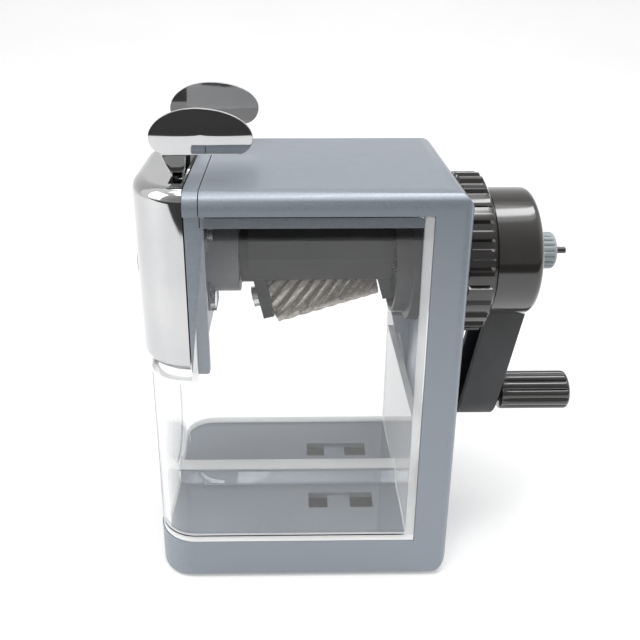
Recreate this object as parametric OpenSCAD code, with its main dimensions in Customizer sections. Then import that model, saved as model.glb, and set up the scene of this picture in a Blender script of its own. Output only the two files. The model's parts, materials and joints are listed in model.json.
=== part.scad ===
// Crank pencil sharpener with a clear shavings drawer and a spring-fed clamp carriage.
// Origin: centre of the base's underside. +X towards the crank, +Y across, +Z up.
// The pencil enters from -X and travels along the main axis.

/* [Body] */
// Length of the body from front to rear
body_l = 85; // [78:1:110]
// Width of the body
body_w = 60; // [56:1:80]
// Height of the body
body_h = 120; // [112:1:160]
// Height of the base under the drawer
base_h = 13.2; // [12:0.2:20]
// Depth of the rear column along the body
column_t = 10; // [9:0.5:16]
// Thickness of the top arm at its sides
arm_t = 6; // [5:0.5:9]
// Wall thickness of the painted body shell
shell_t = 2; // [1.5:0.1:3]
// Radius of the front corners in plan
front_r = 11; // [8:0.5:14]
// Radius of the rear bottom corner seen from the side
heel_r = 7; // [3:0.5:9]
// Radius of the rear top corner seen from the side
crown_r = 6; // [3:0.5:8]
// Radius of the long top edges
edge_r = 4.5; // [2:0.5:5.5]

/* [Mechanism] */
// Height of the main axis above the table
axis_h = 92.6; // [86:0.2:96]
// Largest pencil that the guides pass
pencil_d = 8.4; // [7:0.1:9]
// Radius of the gear housing's smaller step
housing_r = 17.3; // [16:0.1:18.4]
// Depth of the gear housing's smaller step
housing_step = 4; // [3:0.5:5]
// Radius of the gear housing's larger step
housing_big_r = 19.6; // [19:0.1:21]
// Length of the cutter
cutter_l = 31; // [27:0.5:33]
// Radius of the cutter at its front end
cutter_front_r = 8.9; // [8:0.1:9.2]
// Radius of the cutter at its rear end
cutter_rear_r = 6.6; // [5.8:0.1:7]
// Tilt of the cutter's axle towards the main axis
cutter_tilt = 13; // [11:0.5:14]
// Radius of the cutter's axle
axle_r = 2; // [1.5:0.1:2.4]

/* [Crank] */
// Outer radius of the fluted lock ring
ring_r = 23.3; // [22.8:0.1:26]
// Length of the lock ring along the axis
ring_l = 9.4; // [7:0.2:12]
// Number of ribs round the lock ring
ring_ribs = 28; // [16:1:40]
// Radius of the crank drum
drum_r = 18.7; // [17:0.1:21]
// Length of the crank drum
drum_l = 13; // [11:0.5:18]
// Distance from the main axis to the handle
crank_r = 47.6; // [42:0.2:60]
// Lean of the crank arm towards the body
arm_lean = 5.6; // [0:0.2:8]
// Width of the crank arm
crank_w = 14; // [11:0.5:18]
// Radius of the handle grip
grip_r = 6; // [5:0.1:8]
// Length of the handle grip
grip_l = 21.6; // [18:0.2:30]
// Radius of the adjuster knob
knob_r = 5.5; // [4.5:0.1:7]
// Length of the adjuster knob
knob_l = 7.6; // [6:0.2:10]

/* [Clamp carriage] */
// Depth of the chrome cover along the body
cover_l = 15.2; // [14:0.2:19]
// Height of the chrome cover's bottom edge above the table
cover_z = 68.5; // [64:0.5:72]
// Width that each curved corner of the chrome cover takes up
cover_corner_w = 18; // [12:0.5:22]
// Sheet thickness of the chrome cover
cover_t = 1.2; // [1:0.1:1.6]
// Length of each clamp paddle along the body
paddle_l = 26.4; // [20:0.2:32]
// Height of each clamp paddle
paddle_h = 12.2; // [9:0.2:16]
// Half distance between the feet of the paddles
paddle_y = 17.6; // [15:0.2:19]
// Gap between the table side of the paddles and the body's top
paddle_gap = 6.6; // [5:0.2:10]

/* [Drawer] */
// Wall thickness of the clear drawer
drawer_t = 2; // [1.5:0.1:2.5]
// Floor thickness of the clear drawer
floor_t = 1.2; // [1:0.1:2]
// Height of the rear wall of the drawer
rear_wall_h = 40; // [25:1:46]

/* [Clearances] */
// Gap between the sliding drawer and what surrounds it
slide_gap = 0.25; // [0.2:0.05:0.5]
// Radial clearance of the running fits
run_gap = 0.08; // [0.05:0.01:0.1]
// Gap between separate trim pieces
trim_gap = 0.4; // [0.3:0.1:0.8]

/* [Hidden] */
$fn = 64;

tiny = 0.01;
over = 1;

// Body and base
half_l = body_l / 2;
half_w = body_w / 2;
foot_proud = 0.6;
pad_inset = 10.5;
rear_x = half_l;
column_x = rear_x - column_t;
arm_z = body_h - arm_t;
base_edge_r = 1.5;
column_edge_r = 3;
deck_z = base_h - shell_t;
lip_drop = 3.6;
thumb_z = 19;
thumb_r = 11;
thumb_depth = 1.1;
lip_t = 1.6;
lip_y = half_w - drawer_t - slide_gap;
arm_hollow_y = lip_y - lip_t;
arm_roof_t = 2;
rail_h = 3;
rail_half_top = 1.4;
rail_half_foot = 5.2;
slot_l = 20;
slot_w = 6.6;
slot_x = 2;
slot_y = 9.2;
slot_bridge_x = 6;
slot_bridge_w = 7;
gusset_t = 2.4;
gusset_l = 5.4;
gusset_z = 52;
gusset_top = axis_h - housing_big_r - 0.6;
plate_t = 1.6;
plate_z = 2;
screw_r = 1.5;
screw_head_r = 2.8;
screw_head_l = 1.2;
screw_in_x = 7;
screw_in_y = 7;
post_r = 3.2;

// Clamp carriage and front frame
cover_proud = 3;
cover_x0 = -half_l - cover_proud;
cover_x1 = cover_x0 + cover_l;
cover_half_w = lip_y - trim_gap;
cover_top_r = 3.5;
cover_low_r = 2;
frame_x0 = cover_x1 + trim_gap;
frame_t = 2.4;
frame_cap_t = 3.8;
frame_x1 = frame_x0 + frame_t;
arm_x0 = frame_x0 + frame_cap_t + slide_gap;
frame_low_z = cover_z + trim_gap;
frame_half_w = lip_y;
flange_t = 1.8;
flange_l = 5;
slope_top = 5.4;
frame_boss_r = 3.4;
drip_y = 14;
drip_w = 2;
drip_z = 4;
drip_h = 5;
carriage_t = 1.8;
carriage_x1 = cover_x1 - 4.8;
carriage_x0 = carriage_x1 - carriage_t;
carriage_half_w = cover_half_w - cover_corner_w
    + (cover_corner_w - cover_t) * sqrt(1 - pow((cover_x1 - carriage_x0) / (cover_l - cover_t), 2));
carriage_corners = [3, 3, 4, 4];

// Main axis
port_r = pencil_d / 2 + 0.2;
guide_lip = 4;
guide_lip_t = 0.9;
guide_wall = 2.4;
guide_neck = 4;
shaft_r = 4;
journal_r = 7;
journal_wall = 1.6;
hub_r = 11.2;
hub_l = 9.7;
hub_x1 = frame_x1 + hub_l;
hub_tab_w = 8;
hub_tab_t = 2.4;
hub_tab_drop = 17;
hub_flange_t = 1.6;
hub_flange_half = 17;
hub_flange_w = 8;
frame_screw_ring = 14.4;
frame_screw_head_l = 1.4;

// Gears
gear_module = 1.5;
ring_teeth = 18;
pinion_teeth = 12;
ring_pitch_r = gear_module * ring_teeth / 2;
pinion_pitch_r = gear_module * pinion_teeth / 2;
gear_offset = ring_pitch_r - pinion_pitch_r;
tooth_h = 0.9;
tooth_root_w = 2.3;
tooth_tip_w = 1.3;
gear_rim_r = 16;
pinion_w = 2.2;
ring_gear_w = 2.8;

// Cutter frame: its axle runs up towards the main axis at the rear
cut_drop = cutter_front_r / cos(cutter_tilt) + pencil_d / 2 - 0.25;
pinion_s = (cut_drop - gear_offset) / sin(cutter_tilt);
pinion_x = column_x - 4.2;
cut_x = pinion_x - pinion_s * cos(cutter_tilt);
cut_z = axis_h - cut_drop;
// The tilted pinion meets the ring gear at its low side
mesh_x = pinion_x + pinion_pitch_r * sin(cutter_tilt);
cut_gap = 0.5;
holder_t = 3.2;
holder_w = 10;
axle_cut_front = 12;
axle_cut = 20;
holder_low = 5.4;
holder_rear_top = 7.6;
holder_rear_side = 3.4;
axle_head_r = 3.1;
axle_head_l = 2;
axle_rear = pinion_s + pinion_w / 2 + 1.6;

// Carrier
carrier_x0 = cut_x - 6;
carrier_rear_x = pinion_x - 3.3;
collar_r = 8.6;
beam_low = -4.2;
beam_mid = 2.8;
beam_high = 8;
beam_top = 13;
beam_y_low = 10.2;
beam_y = 12;
beam_top_y = 8;
beam_inner_y = 8.6;
beam_roof = 6;
bridge_low = 7.2;
bridge_r = 11.8;
bridge_half_w = 6;
plate_x0 = pinion_x + 3.6;
plate_x1 = plate_x0 + 2;

// Gear housing
housing_x0 = pinion_x - 2.8;
housing_x1 = rear_x;
housing_seat_x1 = pinion_x + 4;
rear_cavity_r = 13;
rear_cavity_x1 = plate_x1 + 0.6;
rear_bush_r = 6.2;

// Crank
ring_x0 = rear_x + slide_gap;
ring_x1 = ring_x0 + ring_l;
rib_h = 1;
rib_w = 2.6;
rib_root = 0.5;
rib_short = 1.2;
drum_x0 = ring_x1 + trim_gap;
drum_x1 = drum_x0 + drum_l;
drum_edge_r = 2;
drum_wall = 3;
arm_depth = 11;
arm_wall = 2;
handle_z = axis_h - crank_r;
arm_top_z = axis_h - drum_r + drum_edge_r;
arm_low_z = handle_z - crank_w / 2 - 1;
arm_slope = arm_lean / (arm_top_z - handle_z);
arm_foot_x = drum_x1 - arm_lean;
arm_low_x = drum_x1 - arm_slope * (arm_top_z - arm_low_z);
axle_x0 = arm_foot_x - arm_depth + 3;
handle_boss_r = 3.6;
handle_boss_l = 1.4;
grip_x0 = arm_foot_x + handle_boss_l + 0.3;
grip_x1 = grip_x0 + grip_l;
handle_pin_r = 2.4;
pin_head = 1.4;
grip_flutes = 12;
flute_r = 0.85;
flute_out = 0.25;
knob_x0 = drum_x1 + trim_gap;
knob_x1 = knob_x0 + knob_l;
knob_flutes = 20;
adjust_r = 1;
adjust_tip = 3.8;
adjust_depth = 9;

// Levers
pivot_y = 8.5;
pivot_rise = 14.4;
pivot_z = axis_h + pivot_rise;
pin_r = 1.3;
knuckle_r = 2.6;
lever_t = 1.4;
lever_w = 3;
lever_x1 = cover_x1 - 0.5;
lever_x0 = lever_x1 - lever_w;
lever_foot_z = body_h + 1;
paddle_z = body_h + paddle_gap;
paddle_lean = 1.4;
paddle_ahead = 5.2;
paddle_wide_z = paddle_h * 0.38;
paddle_peak_x = paddle_l * 0.46;
paddle_foot_r = paddle_h * 0.36;
arc_steps = 10;
jaw_y = 1.6;
jaw_t = 2;
jaw_h = 8;
slot_half = 21.5;
clamp_spring_rise = 5.2;
clamp_spring_r = 1.9;
clamp_spring_wire = 0.6;
slot_gap = 0.5;

// Guide rods
rod_y = 21;
rod_z = body_h - 6.4;
rod_r = 1.8;
bush_r = 2.8;
bush_l = 6;
rod_x1 = column_x - 6.5;
clip_t = 1.6;
clip_r = 3.2;
spring_r = 3;
spring_wire = 0.7;

// A rectangle from (x0, y0) to (x1, y1) whose corners have radii r, anticlockwise from (x0, y0)
module rounded_rect(x0, y0, x1, y1, r) {
    polygon([
        [x0 + r[0], y0], [x1 - r[1], y0], [x1, y0 + r[1]], [x1, y1 - r[2]],
        [x1 - r[2], y1], [x0 + r[3], y1], [x0, y1 - r[3]], [x0, y0 + r[0]]
    ]);
    translate([x0 + r[0], y0 + r[0]]) circle(r[0]);
    translate([x1 - r[1], y0 + r[1]]) circle(r[1]);
    translate([x1 - r[2], y1 - r[2]]) circle(r[2]);
    translate([x0 + r[3], y1 - r[3]]) circle(r[3]);
}

// A box between two corners
module span(low, high) {
    translate(low) cube(high - low);
}

// A cylinder along X on the main axis
module axis_rod(r, x0, x1) {
    translate([x0, 0, axis_h]) rotate([0, 90, 0]) cylinder(r = r, h = x1 - x0);
}

// A cylinder along X anywhere
module x_rod(r, x0, x1, y, z) {
    translate([x0, y, z]) rotate([0, 90, 0]) cylinder(r = r, h = x1 - x0);
}

// A side outline, drawn in X and Z, given a width across Y
module across(width) {
    rotate([90, 0, 0]) linear_extrude(width, center = true) children();
}

// A front outline, drawn in Y and Z, given a length along X from x0 to x1
module along(x0, x1) {
    translate([x0, 0, 0]) rotate([90, 0, 90]) linear_extrude(x1 - x0) children();
}

// Children drawn about the cutter's axle, with its front end at the origin and +X to the rear
module in_cutter_frame() {
    translate([cut_x, 0, cut_z]) rotate([0, -cutter_tilt, 0]) children();
}

// Everything at the four corners where the base is screwed and stands
module at_corners(in_x, in_y) {
    for (sx = [-1, 1], sy = [-1, 1])
        translate([sx * (half_l - in_x), sy * (half_w - in_y), 0]) children();
}

// The plan outline of the body, inset by a distance
module plan(inset) {
    rounded_rect(-half_l + inset, -half_w + inset, half_l - inset, half_w - inset,
        [max(front_r - inset, 1), max(column_edge_r - inset, 0.5),
        max(column_edge_r - inset, 0.5), max(front_r - inset, 1)]);
}

// The outer block of the body, rounded in all three views
module body_block() {
    intersection() {
        across(body_w)
            rounded_rect(-half_l, foot_proud, half_l, body_h, [base_edge_r, heel_r, crown_r, tiny]);
        along(-half_l, half_l)
            rounded_rect(-half_w, foot_proud, half_w, body_h,
                [base_edge_r, base_edge_r, edge_r, edge_r]);
        linear_extrude(body_h) plan(0);
    }
}

// The sloped outline of the drawer rail, grown by a clearance
module rail_outline(grow) {
    polygon([
        [-rail_half_foot - grow, base_h - tiny], [rail_half_foot + grow, base_h - tiny],
        [rail_half_top + grow, base_h + rail_h + grow], [-rail_half_top - grow, base_h + rail_h + grow]
    ]);
}

module body_shell() {
    color("lightslategray") {
        difference() {
            body_block();
            // Drawer bay, open at both sides and the front
            span([-half_l - over, -half_w - over, base_h], [column_x, half_w + over, arm_z]);
            // Room for the front frame's cap
            span([-half_l - over, -half_w - over, arm_z - tiny], [arm_x0, half_w + over, body_h + over]);
            // Base hollow
            translate([0, 0, -over]) linear_extrude(deck_z + over) plan(shell_t);
            // Column hollow
            span([column_x + shell_t, -half_w + shell_t, deck_z - over],
                [rear_x - shell_t, half_w - shell_t, body_h - crown_r]);
            // Arm hollow
            span([arm_x0 - over, -arm_hollow_y, arm_z - over],
                [column_x + shell_t, arm_hollow_y, body_h - arm_roof_t]);
            // Bore for the gear housing
            axis_rod(housing_big_r + slide_gap, column_x - over, rear_x + over);
            deck_slots();
        }
        // Lips that hang inside the drawer's side walls
        for (s = [-1, 1])
            span([arm_x0, s * lip_y - (s > 0 ? lip_t : 0), arm_z - lip_drop],
                [column_x + tiny, s * lip_y + (s > 0 ? 0 : lip_t), arm_z + tiny]);
        // Rail under the drawer
        along(-half_l + front_r, column_x) rail_outline(0);
        // Gusset under the gear housing
        across(gusset_t) polygon([
            [column_x + tiny, gusset_z], [column_x + tiny, gusset_top], [column_x - gusset_l, gusset_top],
            [column_x - gusset_l + 1.2, gusset_top - 5.6], [column_x - gusset_l + 2.6, gusset_top - 6.2]
        ]);
        // Posts for the bottom screws
        at_corners(screw_in_x, screw_in_y)
            difference() {
                translate([0, 0, plate_z + plate_t])
                    cylinder(r = post_r, h = deck_z - plate_z - plate_t + tiny);
                cylinder(r = screw_r, h = deck_z);
            }
    }
}

// Pairs of openings in the base's deck, each with a bridge across it
module deck_slots() {
    for (s = [-1, 1])
        difference() {
            span([slot_x, s * (slot_y + slot_w / 2) - slot_w / 2, deck_z - over],
                [slot_x + slot_l, s * (slot_y + slot_w / 2) + slot_w / 2, base_h + over]);
            span([slot_x + slot_bridge_x, s * (slot_y + slot_w / 2) - slot_w / 2 - over, deck_z - over],
                [slot_x + slot_bridge_x + slot_bridge_w, s * (slot_y + slot_w / 2) + slot_w / 2 + over,
                base_h - shell_t / 2]);
        }
}

module bottom_plate() {
    color("dimgray")
    difference() {
        translate([0, 0, plate_z]) linear_extrude(plate_t) plan(shell_t + trim_gap);
        at_corners(screw_in_x, screw_in_y) cylinder(r = screw_r + slide_gap, h = plate_z + plate_t + over);
    }
}

module bottom_screws() {
    color("silver")
    at_corners(screw_in_x, screw_in_y) {
        translate([0, 0, plate_z - screw_head_l]) cylinder(r = screw_head_r, h = screw_head_l);
        translate([0, 0, plate_z - tiny]) cylinder(r = screw_r - run_gap, h = plate_t + 6);
    }
}

module rubber_pad() {
    color("black") linear_extrude(plate_z) plan(pad_inset);
}

module front_frame() {
    color("lightslategray")
    difference() {
        union() {
            // Main plate
            span([frame_x0, -frame_half_w, frame_low_z], [frame_x1, frame_half_w, arm_z - slide_gap]);
            // Cap, flush with the body's top
            intersection() {
                along(frame_x0, frame_x0 + frame_cap_t)
                    rounded_rect(-half_w, arm_z, half_w, body_h, [tiny, tiny, edge_r, edge_r]);
                span([frame_x0, -half_w, arm_z], [frame_x0 + frame_cap_t, half_w, body_h]);
            }
            span([frame_x0, -arm_hollow_y, arm_z - over], [frame_x1, arm_hollow_y, arm_z + over]);
            // Side flanges
            for (s = [-1, 1])
                translate([0, s * (frame_half_w - flange_t / 2), 0]) across(flange_t)
                    union() {
                        rounded_rect(frame_x0, frame_low_z, frame_x0 + flange_l, arm_z - lip_drop,
                            [tiny, 0.8, tiny, tiny]);
                        rounded_rect(frame_x0, frame_low_z, arm_x0 - slide_gap, arm_z - slide_gap,
                            [tiny, tiny, tiny, tiny]);
                    }
            // Bosses for the rod bushes
            for (s = [-1, 1])
                x_rod(frame_boss_r, frame_x0, frame_x0 + bush_l, s * rod_y, rod_z);
        }
        axis_rod(journal_r + journal_wall + slide_gap, frame_x0 - over, frame_x1 + over);
        for (s = [-1, 1])
            x_rod(bush_r, frame_x0 - over, frame_x0 + bush_l + over, s * rod_y, rod_z);
        // Drip slots beside the hub
        for (s = [-1, 1])
            span([frame_x0 - over, s * drip_y - drip_w / 2, frame_low_z + drip_z],
                [frame_x1 + over, s * drip_y + drip_w / 2, frame_low_z + drip_z + drip_h]);
        for (a = [45, 135, 225, 315])
            frame_screw_place(a) cylinder(r = screw_r, h = 20, center = true);
    }
}

// Places on the hub's screw circle, drawn along X
module frame_screw_place(a) {
    translate([frame_x1, 0, axis_h]) rotate([a, 0, 0])
        translate([0, 0, frame_screw_ring]) rotate([0, 90, 0]) children();
}

module frame_screws() {
    color("silver")
    for (a = [45, 135, 225, 315]) frame_screw_place(a) {
        translate([0, 0, hub_flange_t]) cylinder(r = screw_head_r - 0.4, h = frame_screw_head_l);
        translate([0, 0, -frame_t + 0.2]) cylinder(r = screw_r - run_gap, h = frame_t + hub_flange_t);
    }
}

// One bar of the hub's crossed flange, drawn flat
module hub_flange() {
    linear_extrude(hub_flange_t)
        rounded_rect(-hub_flange_half, -hub_flange_w / 2, hub_flange_half, hub_flange_w / 2, [3, 3, 3, 3]);
}

module front_hub() {
    color("gray")
    difference() {
        union() {
            axis_rod(hub_r, frame_x1, hub_x1);
            // Square flange that the four screws hold
            translate([frame_x1, 0, axis_h]) rotate([45, 0, 0]) rotate([0, 90, 0])
                hub_flange();
            translate([frame_x1, 0, axis_h]) rotate([-45, 0, 0]) rotate([0, 90, 0])
                hub_flange();
            span([frame_x1, -hub_tab_w / 2, axis_h - hub_tab_drop],
                [frame_x1 + hub_tab_t, hub_tab_w / 2, axis_h]);
        }
        axis_rod(journal_r + journal_wall, frame_x1 - over, hub_x1 + over);
        for (a = [45, 135, 225, 315])
            frame_screw_place(a) cylinder(r = screw_r, h = 20, center = true);
    }
}

module front_bush() {
    color("goldenrod")
    difference() {
        axis_rod(journal_r + journal_wall, frame_x0 + 0.4, hub_x1);
        axis_rod(journal_r + run_gap, frame_x0 - over, hub_x1 + over);
    }
}

// The drawer's side outline, with its sloped front edge beside the frame's flange
function drawer_outline(top) = [
    [-half_l, base_h + slide_gap], [column_x - slide_gap, base_h + slide_gap],
    [column_x - slide_gap, top],
    [frame_x0 + slope_top, top], [frame_x0 + slide_gap, frame_low_z - 1],
    [-half_l, frame_low_z - 1]
];

module drawer_plan(inset) {
    rounded_rect(-half_l + inset + 0.3, -half_w + inset, column_x - slide_gap, half_w - inset,
        [front_r - inset, tiny, tiny, front_r - inset]);
}

module shavings_drawer() {
    color([0.95, 0.97, 0.98, 0.35])
    difference() {
        intersection() {
            linear_extrude(body_h) drawer_plan(0);
            across(body_w) polygon(drawer_outline(arm_z - slide_gap));
        }
        // Inside, leaving the two thick rear posts
        difference() {
            translate([0, 0, base_h + slide_gap + floor_t]) linear_extrude(body_h) drawer_plan(drawer_t);
            along(-half_l, half_l) rail_outline(slide_gap + floor_t);
        }
        // Open rear above the low rear wall
        span([column_x - slide_gap - drawer_t, -half_w + drawer_t, base_h + slide_gap + rear_wall_h],
            [column_x + over, half_w - drawer_t, body_h]);
        along(-half_l - over, column_x + over) rail_outline(slide_gap);
        // Thumb recess in the front wall
        intersection() {
            translate([-half_l - 0.1, 0, base_h]) along(0, thumb_depth) thumb_outline();
            span([-half_l - over, -half_w, base_h], [-half_l + 2, half_w, body_h]);
        }
    }
    color([0.95, 0.97, 0.98, 0.35]) {
        rear_wall();
    }
}

// U-shaped outline of the thumb recess, in Y and Z from the base
module thumb_outline() {
    translate([0, thumb_z]) circle(thumb_r);
    translate([-thumb_r, thumb_z]) square([2 * thumb_r, thumb_r]);
}

module rear_wall() {
    difference() {
        span([column_x - slide_gap - drawer_t, -half_w + drawer_t - tiny, base_h + slide_gap],
            [column_x - slide_gap, half_w - drawer_t + tiny, base_h + slide_gap + rear_wall_h]);
        along(-half_l - over, column_x + over) rail_outline(slide_gap);
    }
}

// A toothed ring outline: straight-sided teeth at a pitch radius
module teeth(count, foot_r, tip_r) {
    for (i = [0 : count - 1])
        rotate(i * 360 / count) polygon([
            [foot_r, -tooth_root_w / 2], [tip_r, -tooth_tip_w / 2],
            [tip_r, tooth_tip_w / 2], [foot_r, tooth_root_w / 2]
        ]);
}

module ring_gear() {
    color("dimgray")
    translate([mesh_x - ring_gear_w / 2, 0, axis_h]) rotate([0, 90, 0]) linear_extrude(ring_gear_w) {
        difference() {
            circle(gear_rim_r);
            circle(ring_pitch_r + tooth_h + 0.3);
        }
        teeth(ring_teeth, ring_pitch_r + tooth_h + 0.5, ring_pitch_r - tooth_h);
    }
}

module cutter_pinion() {
    color("dimgray")
    in_cutter_frame() translate([pinion_s - pinion_w / 2, 0, 0]) rotate([0, 90, 0])
        linear_extrude(pinion_w) rotate(180 / pinion_teeth) difference() {
            union() {
                circle(pinion_pitch_r - tooth_h - 0.3);
                teeth(pinion_teeth, pinion_pitch_r - tooth_h - 0.5, pinion_pitch_r + tooth_h);
            }
            circle(axle_r + run_gap);
        }
}

module gear_housing() {
    color("dimgray")
    difference() {
        union() {
            axis_rod(housing_r, housing_x0, housing_x0 + housing_step + tiny);
            axis_rod(housing_big_r, housing_x0 + housing_step, housing_x1);
        }
        axis_rod(gear_rim_r, housing_x0 - over, housing_seat_x1);
        axis_rod(rear_cavity_r, housing_x0, rear_cavity_x1);
        axis_rod(rear_bush_r, housing_x0, housing_x1 + over);
    }
}

module rear_bush() {
    color("goldenrod")
    difference() {
        axis_rod(rear_bush_r, rear_cavity_x1 + 0.2, housing_x1 - 0.2);
        axis_rod(shaft_r + run_gap, rear_cavity_x1 - over, housing_x1 + over);
    }
}

module lock_ring() {
    color("black")
    difference() {
        translate([ring_x0, 0, axis_h]) rotate([0, 90, 0]) {
            cylinder(r = ring_r - rib_h, h = ring_l - 1);
            for (i = [0 : ring_ribs - 1])
                rotate(i * 360 / ring_ribs) translate([ring_r - rib_h - 0.5, 0, 0])
                    translate([0, -rib_w / 2, 0]) cube([rib_h + rib_root, rib_w, ring_l - rib_short]);
            translate([0, 0, ring_l - 1 - tiny])
                cylinder(r1 = ring_r - rib_h, r2 = ring_r - rib_h - 1, h = 1 + tiny);
        }
        axis_rod(drum_r - drum_wall, ring_x0 - over, ring_x1 + over);
    }
}

module carrier_outline() {
    polygon([
        [-beam_y_low, beam_low], [-beam_inner_y, beam_low], [-beam_inner_y, beam_roof],
        [beam_inner_y, beam_roof], [beam_inner_y, beam_low], [beam_y_low, beam_low],
        [beam_y, beam_mid], [beam_y, beam_high], [beam_top_y, beam_top],
        [-beam_top_y, beam_top], [-beam_y, beam_high], [-beam_y, beam_mid]
    ]);
}

module cutter_carrier() {
    color("#3c3f42")
    difference() {
        union() {
            translate([0, 0, axis_h]) along(carrier_x0, carrier_rear_x) carrier_outline();
            // Front wall and collar
            axis_rod(collar_r, hub_x1 + 0.3, carrier_x0 + 4);
            axis_rod(journal_r, frame_x0 + 0.6, hub_x1 + 0.4);
            translate([0, 0, axis_h]) along(carrier_x0, carrier_x0 + 3) front_wall_outline();
            // Front and rear holders of the cutter's axle
            in_cutter_frame() span([-cut_gap - holder_t, -holder_w / 2, -holder_low],
                [-cut_gap, holder_w / 2, cut_drop - 3]);
            in_cutter_frame() span([cutter_l + cut_gap, -holder_w / 2 - holder_rear_side, -holder_low],
                [cutter_l + cut_gap + holder_t, holder_w / 2 + holder_rear_side, holder_rear_top]);
            // Bridge over the pinion to the rear plate
            intersection() {
                span([carrier_rear_x - 2, -bridge_half_w, axis_h + bridge_low],
                    [plate_x1, bridge_half_w, axis_h + beam_top]);
                axis_rod(bridge_r, carrier_rear_x - 3, plate_x1);
            }
            axis_rod(bridge_r, plate_x0, plate_x1);
        }
        axis_rod(port_r, frame_x0 - over, cut_x + 3);
        in_cutter_frame() rotate([0, 90, 0])
            translate([0, 0, -axle_cut_front]) cylinder(r = axle_r, h = axle_rear + axle_cut);
        axis_rod(shaft_r, plate_x0 - over, plate_x1 + over);
    }
}

module front_wall_outline() {
    polygon([
        [-beam_y_low, beam_low], [beam_y_low, beam_low], [beam_y, beam_mid], [beam_y, beam_high],
        [beam_top_y, beam_top], [-beam_top_y, beam_top], [-beam_y, beam_high], [-beam_y, beam_mid]
    ]);
}

module main_shaft() {
    color("silver") axis_rod(shaft_r, plate_x0, drum_x1 - adjust_depth);
}

module milling_cutter() {
    color("#8a8072")
    in_cutter_frame() rotate([0, 90, 0])
        difference() {
            cylinder(r1 = cutter_front_r, r2 = cutter_rear_r, h = cutter_l);
            translate([0, 0, -over]) cylinder(r = axle_r + run_gap, h = cutter_l + 2 * over);
        }
}

module cutter_axle() {
    color("silver")
    in_cutter_frame() rotate([0, 90, 0]) {
        translate([0, 0, -cut_gap - holder_t - axle_head_l]) cylinder(r = axle_head_r, h = axle_head_l);
        translate([0, 0, -cut_gap - holder_t - tiny])
            cylinder(r = axle_r, h = axle_rear + cut_gap + holder_t);
    }
}

module axle_retainer() {
    color("silver")
    in_cutter_frame() translate([axle_rear - 1, 0, 0]) rotate([0, 90, 0])
        difference() {
            cylinder(r = axle_head_r, h = 0.8);
            translate([0, 0, -over]) cylinder(r = axle_r, h = 0.8 + 2 * over);
        }
}

module crank_drum() {
    color("#1c1a19")
    difference() {
        translate([drum_x0, 0, axis_h]) rotate([0, 90, 0]) rotate_extrude()
            difference() {
                union() {
                    square([drum_r, drum_l - drum_edge_r]);
                    square([drum_r - drum_edge_r, drum_l]);
                    translate([drum_r - drum_edge_r, drum_l - drum_edge_r]) circle(drum_edge_r);
                }
                translate([shaft_r + drum_wall, -over])
                    square([drum_r - drum_wall - shaft_r - drum_wall, drum_l - drum_wall + over]);
            }
        axis_rod(shaft_r, drum_x0 - over, drum_x1 - adjust_depth);
        axis_rod(adjust_r + run_gap, drum_x0, drum_x1 + over);
    }
}

// The crank arm's side outline, inset from the web
module arm_side(inset) {
    polygon([
        [drum_x1 - inset, arm_top_z], [arm_low_x - inset, arm_low_z],
        [arm_low_x - arm_depth - (inset > 0 ? over : 0), arm_low_z],
        [drum_x1 - arm_depth - (inset > 0 ? over : 0), arm_top_z]
    ]);
}

// The crank arm's rear outline with its round foot
module arm_front(inset) {
    translate([0, handle_z]) circle(crank_w / 2 - inset);
    translate([-crank_w / 2 + inset, handle_z]) square([crank_w - 2 * inset, crank_r]);
}

module crank_arm() {
    color("#3a3c3d")
    difference() {
        union() {
            difference() {
                intersection() {
                    across(crank_w) arm_side(0);
                    along(drum_x0 - 9, drum_x1) arm_front(0);
                }
                intersection() {
                    across(crank_w) arm_side(arm_wall);
                    along(drum_x0 - 12, drum_x1 + over) arm_front(arm_wall);
                }
            }
            x_rod(handle_boss_r, arm_foot_x - arm_wall, arm_foot_x + handle_boss_l, 0, handle_z);
        }
        axis_rod(drum_r, drum_x0 - 12, drum_x1 + over);
        x_rod(handle_pin_r, axle_x0 - 3, grip_x1, 0, handle_z);
    }
}

module handle_axle() {
    color("silver") {
        x_rod(handle_pin_r, arm_foot_x - arm_wall - 1, grip_x1 - 3, 0, handle_z);
        x_rod(handle_pin_r + pin_head, arm_foot_x - arm_wall - 1 - pin_head, arm_foot_x - arm_wall - 1 + tiny,
            0, handle_z);
    }
}

// A fluted rod along Z with a domed far end
module fluted_rod(r, l, flutes, dome) {
    difference() {
        rotate_extrude() union() {
            square([r, l - dome]);
            square([r - dome, l]);
            translate([r - dome, l - dome]) circle(dome);
        }
        for (i = [0 : flutes - 1])
            rotate(i * 360 / flutes) translate([r + flute_out, 0, -over])
                cylinder(r = flute_r, h = l + 2 * over, $fn = 16);
    }
}

module handle_grip() {
    color("#1c1a19")
    difference() {
        translate([grip_x0, 0, handle_z]) rotate([0, 90, 0]) fluted_rod(grip_r, grip_l, grip_flutes, 1.4);
        x_rod(handle_pin_r + run_gap, grip_x0 - over, grip_x1 - 2.6, 0, handle_z);
    }
}

module adjuster_knob() {
    color("#a8b0b7")
    difference() {
        translate([knob_x0, 0, axis_h]) rotate([0, 90, 0]) fluted_rod(knob_r, knob_l, knob_flutes, 1.2);
        axis_rod(adjust_r, knob_x0 - over, knob_x1 + over);
    }
}

module adjuster_screw() {
    color("#222222") axis_rod(adjust_r, drum_x1 - adjust_depth + 1, knob_x1 + adjust_tip);
}

// The cover's plan: a front that curves back into the sides, inset by a distance
function cover_plan(inset) = concat(
    quarter([cover_x1, cover_half_w - cover_corner_w], cover_l - inset, cover_corner_w - inset, 90, 180),
    quarter([cover_x1, cover_corner_w - cover_half_w], cover_l - inset, cover_corner_w - inset, 180, 270),
    inset > 0 ? [[cover_x1 + over, inset - cover_half_w], [cover_x1 + over, cover_half_w - inset]] : []
);

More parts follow.
